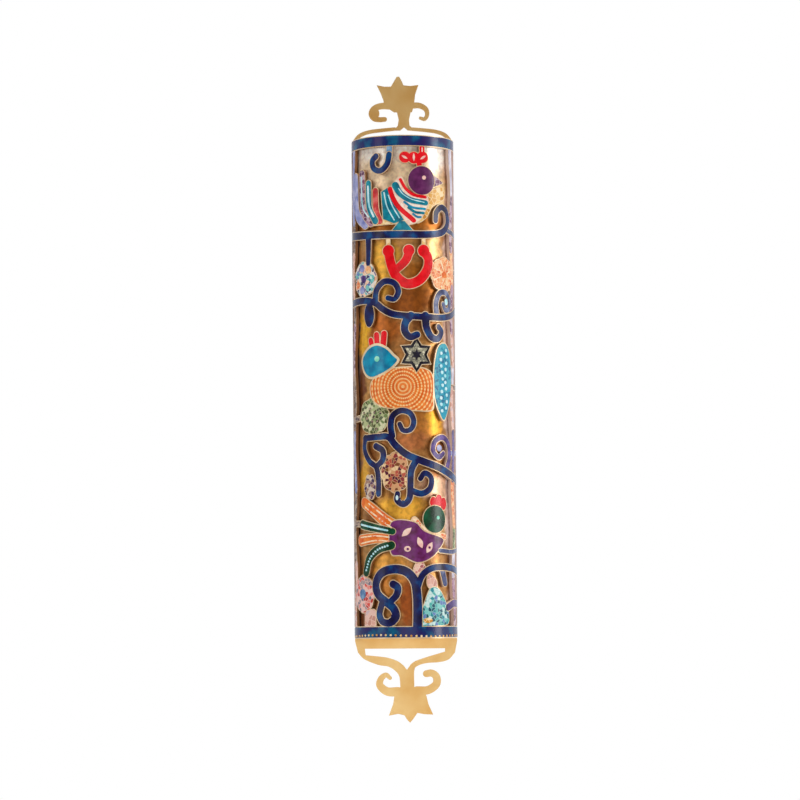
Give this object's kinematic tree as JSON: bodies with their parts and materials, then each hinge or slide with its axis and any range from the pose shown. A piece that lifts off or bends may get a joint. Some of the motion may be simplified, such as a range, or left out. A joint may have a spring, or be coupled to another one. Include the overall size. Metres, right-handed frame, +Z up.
{
  "type": "mezuzah case",
  "caption": "Half-round metal mezuzah case with a painted openwork front, a polished inner tube, fret-cut finials at both ends and a sliding rear door for a rolled parchment.",
  "frame": {"origin": "on the wall side of the back plate, on its centre line, level with the lower end of the shell", "axes": "+Z up along the case, +Y out of the back into the wall, so the openwork front faces -Y"},
  "size_m": [0.0402, 0.0215, 0.2551],
  "materials": {
    "cut_brass": "satin",
    "polished_brass": "polished",
    "enamelled_brass": "glossy enamel on brass",
    "parchment": "matte"
  },
  "bodies": {
    "case": {"back_plate": "cut_brass", "half_tube": "polished_brass", "openwork_shell": "enamelled_brass", "bottom_cap": "polished_brass", "top_cap": "polished_brass", "rail_left": "cut_brass", "rail_right": "cut_brass"},
    "door": {"rear_door": "cut_brass"},
    "scroll": {"parchment_scroll": "parchment"}
  },
  "joints": [
    {"name": "door_slide", "type": "slide", "parent": "case", "child": "door", "axis": [0, 0, -1], "range_m": [0, 0.13]},
    {"name": "scroll_slide", "type": "slide", "parent": "case", "child": "scroll", "axis": [0, 0, 1], "range_m": [0, 0.06]}
  ]
}
